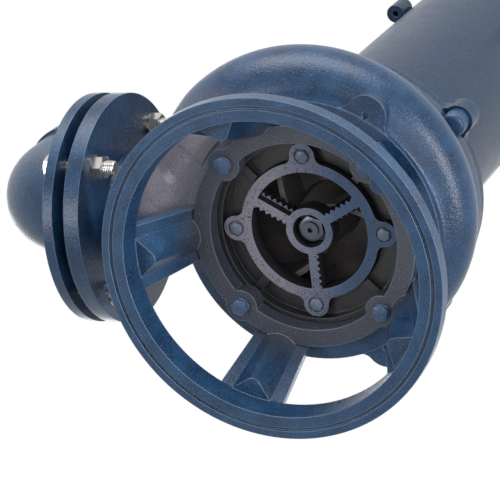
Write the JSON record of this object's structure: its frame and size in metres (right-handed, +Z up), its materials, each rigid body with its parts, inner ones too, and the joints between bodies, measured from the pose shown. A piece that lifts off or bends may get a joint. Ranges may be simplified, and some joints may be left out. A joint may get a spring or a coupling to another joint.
{
  "type": "submersible sewage pump",
  "caption": "Submersible sewage pump with serrated cutter plate, spiral casing on a legged ring base, flanged elbow outlet and upright sealed motor.",
  "frame": {"origin": "on the motor axis, in the plane that the base ring stands on", "axes": "+Z up along the motor axis, +X towards the discharge flange and elbow"},
  "size_m": [0.4544, 0.2929, 0.649],
  "materials": {
    "blue_paint": "rough cast, satin enamel",
    "cover_iron": "rough, primed",
    "cutter_iron": "rough, speckled",
    "bolt_paint": "satin enamel",
    "stainless": "bright",
    "dark_steel": "oiled",
    "gasket_rubber": "matt",
    "paper": "matt",
    "seal_carbon": "matt",
    "bearing_steel": "polished",
    "lamination": "matt",
    "copper": "varnished",
    "aluminium_cage": "cast"
  },
  "bodies": {
    "pump_body": {"base_stand": "blue_paint", "base_bolts": "bolt_paint", "suction_cover": "cover_iron", "cutter_plate": "cutter_iron", "cutter_screws": "bolt_paint", "volute_casing": "blue_paint", "discharge_gasket": "gasket_rubber", "discharge_elbow": "blue_paint", "flange_bolts": "stainless", "flange_nuts": "stainless", "flange_washers": "stainless", "volute_gasket": "paper", "oil_chamber": "blue_paint", "oil_gasket": "paper", "lower_seal_seat": "seal_carbon", "upper_seal_seat": "seal_carbon", "bearing_bracket": "cover_iron", "lower_bearing_outer": "bearing_steel", "lower_bearing_balls": "bearing_steel", "upper_bearing_outer": "bearing_steel", "upper_bearing_balls": "bearing_steel", "stator_core": "lamination", "lower_winding": "copper", "upper_winding": "copper", "motor_casing": "blue_paint", "motor_bolts": "stainless", "top_cover": "blue_paint", "cover_screws": "stainless", "lifting_handle": "stainless", "handle_bolts": "stainless", "gland_body": "stainless", "gland_nut": "stainless", "gland_grommet": "gasket_rubber"},
    "rotor": {"shaft": "dark_steel", "impeller": "cutter_iron", "impeller_key": "dark_steel", "impeller_washer": "dark_steel", "impeller_nut": "dark_steel", "rotor_core": "lamination", "rotor_lower_ring": "aluminium_cage", "rotor_upper_ring": "aluminium_cage", "lower_seal_head": "seal_carbon", "seal_spring": "stainless", "upper_seal_head": "seal_carbon", "lower_bearing_inner": "bearing_steel", "upper_bearing_inner": "bearing_steel"}
  },
  "joints": [
    {"name": "rotor_spin", "type": "hinge", "parent": "pump_body", "child": "rotor", "pos_m": [0, 0, 0.13], "axis": [0, 0, 1], "continuous": true}
  ]
}
